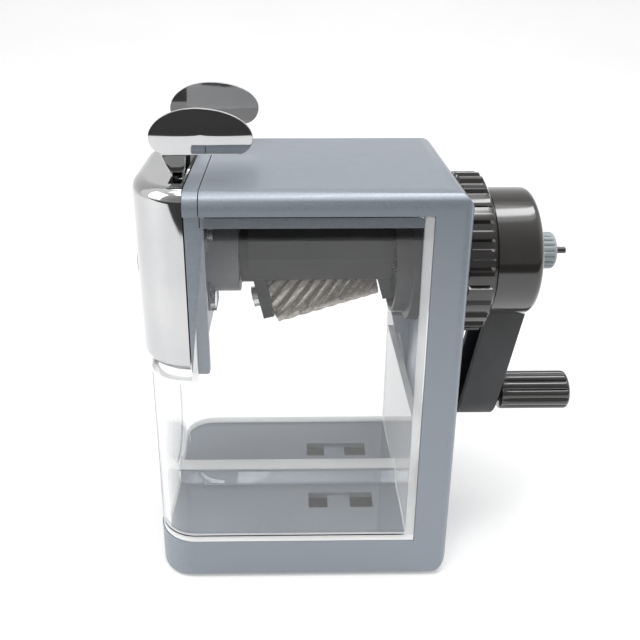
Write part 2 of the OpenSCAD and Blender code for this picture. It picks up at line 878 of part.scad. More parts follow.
// The cover's outer block, grown inwards by a distance
module cover_block(inset) {
    intersection() {
        translate([0, 0, cover_z - over]) linear_extrude(body_h) polygon(cover_plan(inset));
        across(body_w)
            rounded_rect(cover_x0 + inset, cover_z + inset, cover_x1 + (inset > 0 ? over : 0),
                body_h - inset, [cover_low_r, tiny, tiny, cover_top_r]);
        along(cover_x0, cover_x1 + over)
            rounded_rect(-cover_half_w + inset, cover_z + inset, cover_half_w - inset, body_h - inset,
                [cover_low_r, cover_low_r, cover_top_r, cover_top_r]);
    }
}

module carriage_cover() {
    color("gainsboro")
    difference() {
        cover_block(0);
        cover_block(cover_t);
        span([lever_x0 - slot_gap, -slot_half, body_h - 3 * cover_t],
            [cover_x1 + over, slot_half, body_h + over]);
        axis_rod(port_r + guide_wall, cover_x0 - over, cover_x0 + guide_neck + over);
    }
}

module carriage_plate() {
    color("#2a2c2e")
    difference() {
        union() {
            translate([carriage_x0, 0, 0]) along(0, carriage_t)
                rounded_rect(-carriage_half_w, cover_z + cover_t, carriage_half_w,
                    body_h - cover_t - slide_gap, carriage_corners);
            for (s = [-1, 1])
                x_rod(rod_r + 1.8, carriage_x0, carriage_x1 + 2, s * rod_y, rod_z);
        }
        axis_rod(port_r + guide_wall / 2, carriage_x0 - over, carriage_x1 + over);
        for (s = [-1, 1]) {
            x_rod(rod_r, carriage_x0 - over, carriage_x1 + 4, s * rod_y, rod_z);
            x_rod(pin_r, carriage_x0 - over, carriage_x1 + over, s * pivot_y, pivot_z);
        }
    }
}

module pencil_guide() {
    color("#2a2c2e")
    difference() {
        union() {
            axis_rod(port_r + guide_lip, cover_x0 - guide_lip_t, cover_x0 - tiny);
            axis_rod(port_r + guide_wall, cover_x0 - 0.1, cover_x0 + guide_neck);
            axis_rod(port_r + guide_wall / 2, cover_x0 + guide_neck - 0.1, carriage_x1);
        }
        axis_rod(port_r, cover_x0 - guide_lip_t - over, carriage_x1 + over);
    }
}

// One clamp lever on the side of sign s, seen from the rear
module lever(s) {
    difference() {
        union() {
            // Jaw arm, knuckle and stem
            along(lever_x0, lever_x1) {
                lever_strip([s * (jaw_y + jaw_t + lever_t / 2), axis_h - jaw_h / 2],
                    [s * (jaw_y + jaw_t + lever_t / 2), axis_h + jaw_h / 2]);
                lever_strip([s * (jaw_y + jaw_t + lever_t / 2), axis_h + jaw_h / 2],
                    [s * (pivot_y + 0.6), pivot_z]);
                lever_strip([s * (pivot_y + 0.6), pivot_z], [s * paddle_y, lever_foot_z]);
                lever_strip([s * paddle_y, lever_foot_z], [s * (paddle_y + 0.2), paddle_z + 1]);
                translate([s * pivot_y, pivot_z]) circle(knuckle_r);
            }
            paddle(s);
        }
        x_rod(pin_r + run_gap, lever_x0 - over, lever_x1 + over, s * pivot_y, pivot_z);
    }
}

// A strip of the lever's sheet between two points in Y and Z
module lever_strip(a, b) {
    d = b - a;
    translate(a) rotate(atan2(d[1], d[0])) translate([0, -lever_t / 2]) square([norm(d), lever_t]);
    translate(a) circle(lever_t / 2);
    translate(b) circle(lever_t / 2);
}

// The finger paddle: a flat-bottomed oval plate leaning outwards
module paddle(s) {
    translate([lever_x0 - paddle_ahead, s * (paddle_y + 0.2), paddle_z])
        rotate([-s * atan(paddle_lean / paddle_h), 0, 0])
        across(lever_t) polygon(paddle_outline());
}

// An arc of a quarter ellipse about a centre, from one angle to another
function quarter(centre, rx, rz, a0, a1) = [
    for (i = [0 : arc_steps]) let (a = a0 + (a1 - a0) * i / arc_steps)
        centre + [rx * cos(a), rz * sin(a)]
];

// The paddle's outline in X and Z: an arched top, widest low down, over a flat bottom
function paddle_outline() = concat(
    quarter([paddle_l - paddle_foot_r, paddle_wide_z], paddle_foot_r, paddle_wide_z, -90, 0),
    quarter([paddle_peak_x, paddle_wide_z], paddle_l - paddle_peak_x, paddle_h - paddle_wide_z, 0, 90),
    quarter([paddle_peak_x, paddle_wide_z], paddle_peak_x, paddle_h - paddle_wide_z, 90, 180),
    quarter([paddle_foot_r, paddle_wide_z], paddle_foot_r, paddle_wide_z, 180, 270)
);

module clamp_lever_left() {
    color("silver") lever(1);
}

module clamp_lever_right() {
    color("silver") lever(-1);
}

// A ribbed jaw pad on the side of sign s
module jaw_pad(s) {
    difference() {
        span([lever_x0, min(s * jaw_y, s * (jaw_y + jaw_t)), axis_h - jaw_h / 2],
            [lever_x1, max(s * jaw_y, s * (jaw_y + jaw_t)), axis_h + jaw_h / 2]);
        for (i = [-1.5 : 1 : 1.5])
            span([lever_x0 - over, min(s * (jaw_y - over), s * (jaw_y + 0.5)), axis_h + i * 2 - 0.3],
                [lever_x1 + over, max(s * (jaw_y - over), s * (jaw_y + 0.5)), axis_h + i * 2 + 0.3]);
    }
}

module jaw_pad_left() {
    color("black") jaw_pad(1);
}

module jaw_pad_right() {
    color("black") jaw_pad(-1);
}

module lever_pins() {
    color("silver")
    for (s = [-1, 1]) {
        x_rod(pin_r, carriage_x0, lever_x1 + 0.2, s * pivot_y, pivot_z);
    }
}

module clamp_spring() {
    color("silver")
    translate([(lever_x0 + lever_x1) / 2, 0, pivot_z + clamp_spring_rise]) rotate([90, 0, 0])
        difference() {
            cylinder(r = clamp_spring_r, h = 2 * pivot_y, center = true);
            cylinder(r = clamp_spring_r - clamp_spring_wire, h = 2 * pivot_y + over, center = true);
        }
}

module guide_rods() {
    color("silver")
    for (s = [-1, 1])
        x_rod(rod_r, carriage_x0 + 0.2, rod_x1 + clip_t, s * rod_y, rod_z);
}

module rod_clips() {
    color("dimgray")
    for (s = [-1, 1])
        difference() {
            x_rod(clip_r, rod_x1, rod_x1 + clip_t, s * rod_y, rod_z);
            x_rod(rod_r, rod_x1 - over, rod_x1 + clip_t + over, s * rod_y, rod_z);
        }
}

module rod_bushes() {
    color("goldenrod")
    for (s = [-1, 1])
        difference() {
            x_rod(bush_r, frame_x0, frame_x0 + bush_l, s * rod_y, rod_z);
            x_rod(rod_r + run_gap, frame_x0 - over, frame_x0 + bush_l + over, s * rod_y, rod_z);
        }
}

// The return spring round the guide rod on the side of sign s
module feed_spring(s) {
    difference() {
        x_rod(spring_r, frame_x0 + bush_l + 0.2, rod_x1 - 0.2, s * rod_y, rod_z);
        x_rod(spring_r - spring_wire, frame_x0, rod_x1 + over, s * rod_y, rod_z);
    }
}

module feed_spring_left() {
    color("silver") feed_spring(1);
}

module feed_spring_right() {
    color("silver") feed_spring(-1);
}

body_shell();
bottom_plate();
bottom_screws();
rubber_pad();
front_frame();
frame_screws();
shavings_drawer();
lock_ring();
gear_housing();
ring_gear();
rear_bush();
front_hub();
front_bush();
cutter_carrier();
main_shaft();
milling_cutter();
cutter_pinion();
cutter_axle();
axle_retainer();
crank_drum();
crank_arm();
handle_axle();
handle_grip();
adjuster_knob();
adjuster_screw();
carriage_cover();
carriage_plate();
pencil_guide();
clamp_lever_left();
clamp_lever_right();
jaw_pad_left();
jaw_pad_right();
lever_pins();
clamp_spring();
guide_rods();
rod_clips();
rod_bushes();
feed_spring_left();
feed_spring_right();
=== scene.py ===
import json
import math

import bmesh
import bpy
from mathutils import Matrix, Vector


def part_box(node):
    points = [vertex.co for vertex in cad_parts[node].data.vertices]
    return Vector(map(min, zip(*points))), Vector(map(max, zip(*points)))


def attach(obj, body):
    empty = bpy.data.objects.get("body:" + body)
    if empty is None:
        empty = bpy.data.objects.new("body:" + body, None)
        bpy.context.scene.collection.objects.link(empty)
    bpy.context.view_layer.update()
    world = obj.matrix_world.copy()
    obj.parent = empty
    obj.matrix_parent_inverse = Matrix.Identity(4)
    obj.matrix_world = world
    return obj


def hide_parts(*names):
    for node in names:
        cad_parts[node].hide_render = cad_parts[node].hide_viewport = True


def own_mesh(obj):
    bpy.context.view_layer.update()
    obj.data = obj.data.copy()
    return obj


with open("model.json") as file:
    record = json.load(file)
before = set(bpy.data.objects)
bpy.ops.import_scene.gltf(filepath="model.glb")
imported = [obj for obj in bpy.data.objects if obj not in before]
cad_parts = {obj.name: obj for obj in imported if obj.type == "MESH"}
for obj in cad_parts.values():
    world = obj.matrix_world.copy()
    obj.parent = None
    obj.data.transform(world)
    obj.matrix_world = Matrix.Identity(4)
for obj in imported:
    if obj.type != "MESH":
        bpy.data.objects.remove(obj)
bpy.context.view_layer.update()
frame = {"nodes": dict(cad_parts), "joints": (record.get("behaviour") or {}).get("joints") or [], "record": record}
NODES = frame["nodes"]

MM = 0.001
TAU = 2 * math.pi


# ---------------------------------------------------------------- materials

def new_material(name):
    """An empty node material and its Principled shader."""
    mat = bpy.data.materials.new(name)
    mat.use_nodes = True
    return mat, mat.node_tree, mat.node_tree.nodes["Principled BSDF"]


def noise_tex(tree, scale, detail=3.0, roughness=0.55, stretch=(1, 1, 1)):
    """A noise texture in object space. scale is features per metre."""
    coords = tree.nodes.new("ShaderNodeTexCoord")
    mapping = tree.nodes.new("ShaderNodeMapping")
    mapping.inputs["Scale"].default_value = stretch
    noise = tree.nodes.new("ShaderNodeTexNoise")
    noise.inputs["Scale"].default_value = scale
    noise.inputs["Detail"].default_value = detail
    noise.inputs["Roughness"].default_value = roughness
    tree.links.new(coords.outputs["Object"], mapping.inputs["Vector"])
    tree.links.new(mapping.outputs["Vector"], noise.inputs["Vector"])
    return noise


def tint(tree, shader, noise, dark, light, low=0.35, high=0.65):
    """Colours the shader between two close colours by a noise."""
    ramp = tree.nodes.new("ShaderNodeValToRGB")
    ramp.color_ramp.elements[0].position = low
    ramp.color_ramp.elements[1].position = high
    ramp.color_ramp.elements[0].color = (*dark, 1)
    ramp.color_ramp.elements[1].color = (*light, 1)
    tree.links.new(noise.outputs["Fac"], ramp.inputs["Fac"])
    tree.links.new(ramp.outputs["Color"], shader.inputs["Base Color"])


def vary_roughness(tree, shader, noise, low, high):
    """Spreads the shader's roughness between two values by a noise."""
    spread = tree.nodes.new("ShaderNodeMapRange")
    spread.inputs["To Min"].default_value = low
    spread.inputs["To Max"].default_value = high
    tree.links.new(noise.outputs["Fac"], spread.inputs["Value"])
    tree.links.new(spread.outputs["Result"], shader.inputs["Roughness"])


def bump(tree, shader, noise, strength, distance):
    """Adds a fine bump from a noise. distance is in metres."""
    node = tree.nodes.new("ShaderNodeBump")
    node.inputs["Strength"].default_value = strength
    node.inputs["Distance"].default_value = distance
    tree.links.new(noise.outputs["Fac"], node.inputs["Height"])
    tree.links.new(node.outputs["Normal"], shader.inputs["Normal"])


def moulded(name, dark, light, rough, grain=2500, depth=0.00004, coat=0.0, specular=0.5):
    """Moulded plastic: two close tints, a fine grain and an uneven sheen."""
    mat, tree, shader = new_material(name)
    tint(tree, shader, noise_tex(tree, 60, 4), dark, light)
    vary_roughness(tree, shader, noise_tex(tree, 220, 3), rough[0], rough[1])
    bump(tree, shader, noise_tex(tree, grain, 2), 0.35, depth)
    shader.inputs["Coat Weight"].default_value = coat
    shader.inputs["Coat Roughness"].default_value = 0.12
    shader.inputs["Specular IOR Level"].default_value = specular
    return mat


def metal(name, dark, light, rough, scale=900, stretch=(1, 1, 1), strength=0.15):
    """Bare metal with fine working marks along the stretched direction."""
    mat, tree, shader = new_material(name)
    marks = noise_tex(tree, scale, 4, stretch=stretch)
    tint(tree, shader, marks, dark, light)
    vary_roughness(tree, shader, marks, rough[0], rough[1])
    bump(tree, shader, marks, strength, 0.00003)
    shader.inputs["Metallic"].default_value = 1.0
    return mat


def paint_material():
    """Metallic blue-grey paint: fine flakes under a satin lacquer."""
    mat, tree, shader = new_material("metallic_paint")
    flakes = noise_tex(tree, 5200, 2, 0.7)
    tint(tree, shader, flakes, (0.20, 0.225, 0.26), (0.30, 0.335, 0.38), 0.36, 0.66)
    vary_roughness(tree, shader, noise_tex(tree, 260, 3), 0.38, 0.48)
    bump(tree, shader, noise_tex(tree, 1700, 2), 0.10, 0.00004)
    shader.inputs["Metallic"].default_value = 0.45
    shader.inputs["Coat Weight"].default_value = 0.25
    shader.inputs["Coat Roughness"].default_value = 0.16
    return mat


def math_node(tree, operation, a, b):
    """A math node. a and b are sockets or numbers."""
    node = tree.nodes.new("ShaderNodeMath")
    node.operation = operation
    for socket, value in zip(node.inputs, (a, b)):
        if isinstance(value, (int, float)):
            socket.default_value = value
        else:
            tree.links.new(value, socket)
    return node.outputs[0]


def above(tree, value, limit):
    """1 where the value is above the limit, else 0."""
    return math_node(tree, "GREATER_THAN", value, limit)


def below(tree, value, limit):
    """1 where the value is below the limit, else 0."""
    return math_node(tree, "LESS_THAN", value, limit)


def product(tree, a, b):
    """a times b; of two masks, where both hold."""
    return math_node(tree, "MULTIPLY", a, b)


def larger(tree, a, b):
    """The larger of a and b; of two masks, where either holds."""
    return math_node(tree, "MAXIMUM", a, b)


def clear_material():
    """Clear polystyrene with faint moulding ripples.
    It is paler and less clear along the drawer's floor edge, ridge, rear wall and top edges, found by place:
    painted highlights that stand in for the bright glints along the clear plastic's edges."""
    floor_top, floor_front, floor_half, corner_r = 15.3 * MM, -31.2 * MM, 19.0 * MM, 8.9 * MM
    ridge_low, ridge_high, ridge_half = 17.0 * MM, 19.5 * MM, 2.4 * MM
    rim_low, rim_rear, rear_front = 66.6 * MM, -28.0 * MM, 30.0 * MM
    rear_glint_share, glint_share = 0.55, 0.62

    mat, tree, shader = new_material("clear_plastic")
    coords = tree.nodes.new("ShaderNodeTexCoord")
    split = tree.nodes.new("ShaderNodeSeparateXYZ")
    tree.links.new(coords.outputs["Object"], split.inputs["Vector"])
    x, z = split.outputs["X"], split.outputs["Z"]
    y = math_node(tree, "ABSOLUTE", split.outputs["Y"], 0)

    # The floor's edge lies outside a rounded outline
    past_x = larger(tree, math_node(tree, "SUBTRACT", floor_front, x), 0.0)
    past_y = larger(tree, math_node(tree, "SUBTRACT", y, floor_half), 0.0)
    reach = math_node(tree, "ADD", product(tree, past_x, past_x), product(tree, past_y, past_y))
    floor_edge = product(tree, below(tree, z, floor_top), above(tree, reach, corner_r ** 2))
    ridge = product(tree, above(tree, z, ridge_low), below(tree, y, ridge_half))
    ridge = product(tree, ridge, below(tree, z, ridge_high))
    top_edge = product(tree, above(tree, z, rim_low), below(tree, x, rim_rear))
    edges = larger(tree, larger(tree, floor_edge, ridge), top_edge)
    # Painted highlight: these edges, and the rear wall at a lower share, turn whiter and less clear
    pale = larger(tree, edges, product(tree, above(tree, x, rear_front), rear_glint_share))
    clear = math_node(tree, "SUBTRACT", 1.0, product(tree, pale, glint_share))
    tree.links.new(clear, shader.inputs["Transmission Weight"])

    shader.inputs["IOR"].default_value = 1.42
    vary_roughness(tree, shader, noise_tex(tree, 90, 2), 0.0, 0.03)
    tint(tree, shader, noise_tex(tree, 30, 2), (0.965, 0.970, 0.975), (0.985, 0.99, 0.99))
    bump(tree, shader, noise_tex(tree, 70, 2), 0.06, 0.0001)
    return mat


MATERIALS = {
    "body_paint": paint_material(),
    "chrome": metal(
        "chrome_plate", (0.48, 0.485, 0.495), (0.54, 0.54, 0.545),
        (0.03, 0.07), 45, (1, 1, 1), 0.03),
    "steel": metal(
        "bright_steel", (0.52, 0.52, 0.53), (0.66, 0.66, 0.67),
        (0.20, 0.34), 2600, (0.15, 1, 1)),
    "tool_steel": metal(
        "ground_tool_steel", (0.30, 0.275, 0.245), (0.52, 0.48, 0.43),
        (0.22, 0.42), 2200, (0.3, 1, 1), 0.3),
    "brass": metal(
        "turned_brass", (0.60, 0.43, 0.18), (0.74, 0.56, 0.27),
        (0.22, 0.34), 2400, (1, 0.2, 0.2)),
    "clear_plastic": clear_material(),
    "black_gloss": moulded(
        "glossy_black", (0.014, 0.0125, 0.0115), (0.022, 0.0195, 0.018),
        (0.10, 0.17), 1500, 0.00001, 0.8),
    "arm_plastic": moulded(
        "matt_dark", (0.028, 0.029, 0.031), (0.044, 0.045, 0.048),
        (0.42, 0.55), 3200, 0.00008),
    "carrier_plastic": moulded(
        "dark_moulding", (0.016, 0.0165, 0.017), (0.027, 0.0275, 0.028),
        (0.42, 0.54), 2600, 0.00004, 0.0, 0.35),
    "hub_plastic": moulded(
        "mid_grey_moulding", (0.20, 0.21, 0.22), (0.27, 0.28, 0.29),
        (0.38, 0.48), 2600, 0.00005),
    "housing_plastic": moulded(
        "housing_grey", (0.046, 0.048, 0.050), (0.070, 0.072, 0.075),
        (0.38, 0.50), 2600, 0.00005),
    "knob_plastic": moulded(
        "pale_blue_grey", (0.27, 0.30, 0.325), (0.34, 0.375, 0.40),
        (0.38, 0.48), 2600, 0.00005),
    "rubber": moulded(
        "black_rubber", (0.016, 0.016, 0.016), (0.030, 0.030, 0.030),
        (0.62, 0.78), 4200, 0.0001, 0.0, 0.3),
}

SLOT_OF = {s["node"]: s["material_slot"] for s in frame["record"]["subparts"]}


def dress(obj, slot_name):
    """Gives a piece the material of a slot."""
    obj.data.materials.clear()
    obj.data.materials.append(MATERIALS[slot_name])


def smooth(obj, angle=32):
    """Smooth shading that keeps edges sharper than the angle, in degrees."""
    limit = math.radians(angle)
    for poly in obj.data.polygons:
        poly.use_smooth = True
    bm = bmesh.new()
    bm.from_mesh(obj.data)
    for edge in bm.edges:
        if len(edge.link_faces) == 2:
            edge.smooth = edge.calc_face_angle(0) < limit
    bm.to_mesh(obj.data)
    bm.free()


for node_name, node_obj in NODES.items():
    dress(node_obj, SLOT_OF[node_name])
# Light goes straight through the clear drawer onto the deck inside it
NODES["shavings_drawer"].visible_shadow = False


# ---------------------------------------------------------------- mesh helpers

def mesh_object(name, verts, faces, slot_name, body, angle=35):
    """A new piece from points and faces, dressed, smoothed and riding on a body."""
    mesh = bpy.data.meshes.new(name)
    mesh.from_pydata([tuple(v) for v in verts], [], faces)
    mesh.validate()
    obj = bpy.data.objects.new(name, mesh)
    bpy.context.scene.collection.objects.link(obj)
    dress(obj, slot_name)
    bm = bmesh.new()
    bm.from_mesh(mesh)
    bmesh.ops.recalc_face_normals(bm, faces=bm.faces)
    bm.to_mesh(mesh)
    bm.free()
    smooth(obj, angle)
    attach(obj, body)
    return obj


def add_modifier(obj, kind, **settings):
    """Adds a modifier with its settings."""
    mod = obj.modifiers.new(kind.lower(), kind)
    for key, value in settings.items():
        setattr(mod, key, value)
    return mod


def arc(centre, radius, start, end, steps):
    """Points of an arc, with angles in degrees."""
    points = []
    for i in range(steps + 1):
        a = math.radians(start + (end - start) * i / steps)
        points.append((centre[0] + radius * math.cos(a), centre[1] + radius * math.sin(a)))
    return points


def lathe(name, profile, slot_name, body, axis_z, segments=128, shape=None, angle=35):
    """A piece turned about an axis along X at height axis_z.
    profile is (x, r) points; shape(x, r, turn) may change the radius round the turn."""
    verts, faces = [], []
    for x, r in profile:
        for k in range(segments):
            turn = TAU * k / segments
            radius = shape(x, r, turn) if shape else r
            verts.append((x, radius * math.cos(turn), axis_z + radius * math.sin(turn)))
    for i in range(len(profile) - 1):
        for k in range(segments):
            a, b = i * segments + k, i * segments + (k + 1) % segments
            faces.append((a, b, b + segments, a + segments))
    faces.append(tuple(range(segments)))
    last = (len(profile) - 1) * segments
    faces.append(tuple(range(last + segments - 1, last - 1, -1)))
    return mesh_object(name, verts, faces, slot_name, body, angle)


def middle(low, high):
    """The value halfway between two."""
    return (low + high) / 2


def smoothstep(x):
    """Eases from 0 to 1, and holds outside that range."""
    x = min(max(x, 0.0), 1.0)
    return x * x * (3 - 2 * x)


# ---------------------------------------------------------------- crank pieces

AXIS_Z = middle(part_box("crank_drum")[0].z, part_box("crank_drum")[1].z)


def rib_shape(count, height, land, flank, x0, x1, fade):
    """Raised ribs round a turned piece that fade out towards both ends."""
    def shape(x, r, turn):
        phase = abs((turn * count / TAU) % 1.0 - 0.5) * 2
        rise = smoothstep((land + flank - phase) / flank)
        ends = smoothstep((x - x0) / fade) * smoothstep((x1 - x) / fade)
        return r + height * rise * ends
    return shape


def make_lock_ring():
    """The lock ring with its raised ribs, rounded at both ends."""
    low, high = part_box("lock_ring")
    rib = 1.1 * MM
    r, bore = (high.z - low.z) / 2 - rib, 15.7 * MM
    x0, x1 = low.x, high.x
    profile = [(x0, bore), (x0, r - 0.8 * MM)]
    profile += [(x0 + 0.3 * MM, r - 0.2 * MM), (x0 + 0.5 * MM, r)]
    steps = 10
    straight = x1 - x0 - 2.2 * MM
    profile += [(x0 + 0.5 * MM + straight * i / steps, r) for i in range(1, steps + 1)]
    profile += [(x1 - 1.2 * MM, r - 0.1 * MM), (x1 - 0.5 * MM, r - 1.0 * MM), (x1, r - 2.0 * MM)]
    profile += [(x1, r - 4.0 * MM), (x1 - 0.4 * MM, r - 4.4 * MM), (x1 - 0.4 * MM, bore)]
    ribs = rib_shape(28, rib, 0.34, 0.30, x0 + 0.3 * MM, x1 - 0.9 * MM, 0.9 * MM)

    def ribs_on_rim(x, r_here, turn):
        return ribs(x, r_here, turn) if r_here > r - 1.5 * MM else r_here

    piece = lathe("lock_ring_fluted", profile, "black_gloss", "ring", AXIS_Z, 448, ribs_on_rim)
    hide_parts("lock_ring")


def make_drum():
    """The crank's drum, with a rounded rear edge and a shallow ring in its face."""
    low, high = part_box("crank_drum")
    r, x0, x1 = (high.z - low.z) / 2, low.x, high.x
    edge = 2.2 * MM
    profile = [(x0, 5 * MM), (x0, r - 0.4 * MM), (x0 + 0.4 * MM, r), (x1 - edge * 1.6, r)]
    profile += arc((x1 - edge, r - edge), edge, 88, 4, 10)
    profile += [(x1, r - edge - 0.6 * MM), (x1, 9.6 * MM), (x1 - 0.35 * MM, 9.2 * MM)]
    profile += [(x1 - 0.35 * MM, 7.0 * MM), (x1, 6.6 * MM), (x1, 1.15 * MM)]
    piece = lathe("crank_drum_turned", profile, "black_gloss", "rotor", AXIS_Z, 160)
    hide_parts("crank_drum")


def flute_shape(count, depth, x0, x1, fade):
    """Round-bottomed flutes that run out before the ends."""
    def shape(x, r, turn):
        phase = (turn * count / TAU) % 1.0
        cut = max(math.sin(phase * math.pi), 0.0) ** 0.6
        ends = smoothstep((x - x0) / fade) * smoothstep((x1 - x) / fade)
        return r - depth * (1 - cut) * ends
    return shape


def make_fluted(name, node, slot_name, body, flutes, depth, dome, core, reach):
    """A grip or knob with flutes, a domed end and a small raised core at its tip."""
    low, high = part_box(node)
    z = middle(low.z, high.z)
    r, x0, x1 = (high.y - low.y) / 2, low.x, high.x
    profile = [(x0, core), (x0, r - 0.7 * MM), (x0 + 0.35 * MM, r - 0.15 * MM), (x0 + 0.8 * MM, r)]
    steps = 12
    straight = x1 - x0 - dome - 1.0 * MM
    profile += [(x0 + 0.8 * MM + straight * i / steps, r) for i in range(1, steps + 1)]
    profile += arc((x1 - dome, r - dome), dome, 80, 8, 8)
    profile += [(x1, r - dome - 0.4 * MM), (x1, core + 0.3 * MM), (x1 - 0.3 * MM, core)]
    fluted = flute_shape(flutes, depth, x0 + 0.2 * MM, x1 - reach, 0.9 * MM)

    def flutes_on_side(x, r_here, turn):
        return fluted(x, r_here, turn) if r_here > r - dome * 0.9 else r_here

    piece = lathe(name, profile, slot_name, body, z, flutes * 16, flutes_on_side)
    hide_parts(node)


make_lock_ring()
make_drum()
make_fluted("handle_grip_fluted", "handle_grip", "black_gloss", "grip", flutes=12,
            depth=0.75 * MM, dome=1.4 * MM, core=2.5 * MM, reach=0.5 * MM)
make_fluted("adjuster_knob_fluted", "adjuster_knob", "knob_plastic", "adjuster", flutes=20,
            depth=0.5 * MM, dome=1.1 * MM, core=1.1 * MM, reach=0.6 * MM)


# ---------------------------------------------------------------- cutter

def make_cutter():
    """The milling cutter: twelve sharp helical teeth on a slightly tapered body."""
    joint = next(j for j in frame["joints"] if j["name"] == "cutter_spin")
    origin, along_axle = Vector(joint["pos_m"]), Vector(joint["axis"])
    length, r_front, r_rear, bore = 31 * MM, 8.9 * MM, 6.6 * MM, 2.1 * MM
    teeth, depth, helix = 12, 1.3 * MM, math.radians(-42)
    land, face_share = 0.14, 0.10
    back = land + face_share
    chamfer, chamfer_share = 0.35 * MM, 0.88
    rows, segments = 60, teeth * 16
    across = Vector((0, 1, 0))
    up = along_axle.cross(across)

    def radius(s, turn):
        base = r_front + (r_rear - r_front) * s / length
        twist = math.tan(helix) * s / base
        phase = ((turn + twist) * teeth / TAU) % 1.0
        if phase < land:
            return base
        if phase < back:
            return base - depth * smoothstep((phase - land) / face_share)
        return base - depth * (1 - (phase - back) / (1 - back)) ** 1.2

    def point(s, r, turn):
        side = across * (r * math.cos(turn)) - up * (r * math.sin(turn))
        return origin + along_axle * s + side

    verts, faces = [], []
    # Each ring is its place along the axle, its share of the toothed radius, or else a plain radius
    rings = [(0.0, None, bore), (0.0, chamfer_share, None)]
    straight = length - 2 * chamfer
    rings += [(chamfer + straight * i / rows, 1.0, None) for i in range(rows + 1)]
    rings += [(length, chamfer_share, None), (length, None, bore)]
    for s, share, fixed in rings:
        for k in range(segments):
            turn = TAU * k / segments
            verts.append(point(s, fixed if share is None else radius(s, turn) * share, turn))
    count = len(rings)
    for i in range(count):
        j = (i + 1) % count
        for k in range(segments):
            n = (k + 1) % segments
            faces.append((i * segments + k, i * segments + n, j * segments + n, j * segments + k))
    piece = mesh_object("milling_cutter_helical", verts, faces, "tool_steel", "cutter", 28)
    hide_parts("milling_cutter")


make_cutter()


# ---------------------------------------------------------------- springs

def coil(name, start, end, radius, wire, turns, body, node):
    """A coil spring between two points, with closed ends, made as a mesh tube."""
    dead, drift = 0.06, 0.25
    axis = Vector(end) - Vector(start)
    length = axis.length
    axis.normalize()
    side = axis.orthogonal().normalized()
    other = axis.cross(side)
    steps, sides = int(turns * 20), 8
    verts, faces, centres = [], [], []
    for i in range(steps + 1):
        t = i / steps
        climb = min(max((t - dead) / (1 - 2 * dead), 0), 1)
        s = length * (smoothstep(t) * drift + (1 - drift) * climb)
        turn = TAU * turns * t
        out = (side * math.cos(turn) + other * math.sin(turn)) * radius
        centres.append(Vector(start) + axis * s + out)
    for i, centre in enumerate(centres):
        ahead = (centres[min(i + 1, steps)] - centres[max(i - 1, 0)]).normalized()
        out = (ahead.cross(axis)).normalized()
        lift = ahead.cross(out)
        for k in range(sides):
            a = TAU * k / sides
            verts.append(centre + (out * math.cos(a) + lift * math.sin(a)) * wire / 2)
    for i in range(steps):
        for k in range(sides):
            n = (k + 1) % sides
            faces.append((i * sides + k, i * sides + n, (i + 1) * sides + n, (i + 1) * sides + k))
    faces.append(tuple(range(sides)))
    faces.append(tuple(range(steps * sides + sides - 1, steps * sides - 1, -1)))
    piece = mesh_object(name, verts, faces, "steel", body, 60)
    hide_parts(node)
    return piece


def make_feed_springs():
    """The two springs behind the carriage, which fold up as it pulls out; here they are fixed coils on the root
    body.
    """
    for side_name in ("left", "right"):
        node = "feed_spring_" + side_name
        low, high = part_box(node)
        y, z = middle(low.y, high.y), middle(low.z, high.z)
        spring = coil(node + "_coil", (low.x, y, z), (high.x, y, z),
                      2.65 * MM, 0.7 * MM, 19, "root", node)
        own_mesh(spring)


def make_clamp_spring():
    """The spring between the levers, which they press together; here it is a fixed coil on the carriage."""
    low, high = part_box("clamp_spring")
    x, z = middle(low.x, high.x), middle(low.z, high.z)
    spring = coil("clamp_spring_coil", (x, low.y, z), (x, high.y, z),
                  1.6 * MM, 0.5 * MM, 9, "carriage", "clamp_spring")
    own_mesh(spring)


make_feed_springs()
make_clamp_spring()


# ---------------------------------------------------------------- clamp levers

PADDLE_RIM = 56
PADDLE_H = 12.2 * MM
PADDLE_Y = 17.75 * MM
LEVER_SHEET = 1.1 * MM


def pivot_x():
    """The middle of the levers' sheet along X, from the jaw pads that sit on it."""
    pad_low, pad_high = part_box("jaw_pad_left")
    return middle(pad_low.x, pad_high.x)


def paddle_outline(length, height, wide):
    """The paddle's outline from its lower left, in X and Z: arched above, flat below."""
    peak, foot = length * 0.46, height * 0.36
    points = []
    quarters = [((length - foot, wide), foot, wide, -90, 0),
                ((peak, wide), length - peak, height - wide, 0, 90),
                ((peak, wide), peak, height - wide, 90, 180),
                ((foot, wide), foot, wide, 180, 270)]
    for (cx, cz), rx, rz, a0, a1 in quarters:
        for i in range(PADDLE_RIM // 4):
            a = math.radians(a0 + (a1 - a0) * i / (PADDLE_RIM // 4))
            points.append((cx + rx * math.cos(a), cz + rz * math.sin(a)))
    flat = 6
    start, end = (foot, 0.0), (length - foot, 0.0)
    points += [(start[0] + (end[0] - start[0]) * i / flat, 0.0) for i in range(flat)]
    return points


def paddle_y(z):
    """How far out the paddle's sheet lies at height z above its lower edge."""
    share = z / PADDLE_H
    curl = 0.6 * MM * (1 - smoothstep(share / 0.42))
    dish = 0.3 * MM * math.sin(share * math.pi)
    return PADDLE_Y + 0.35 * MM + 0.9 * MM * share - curl + dish


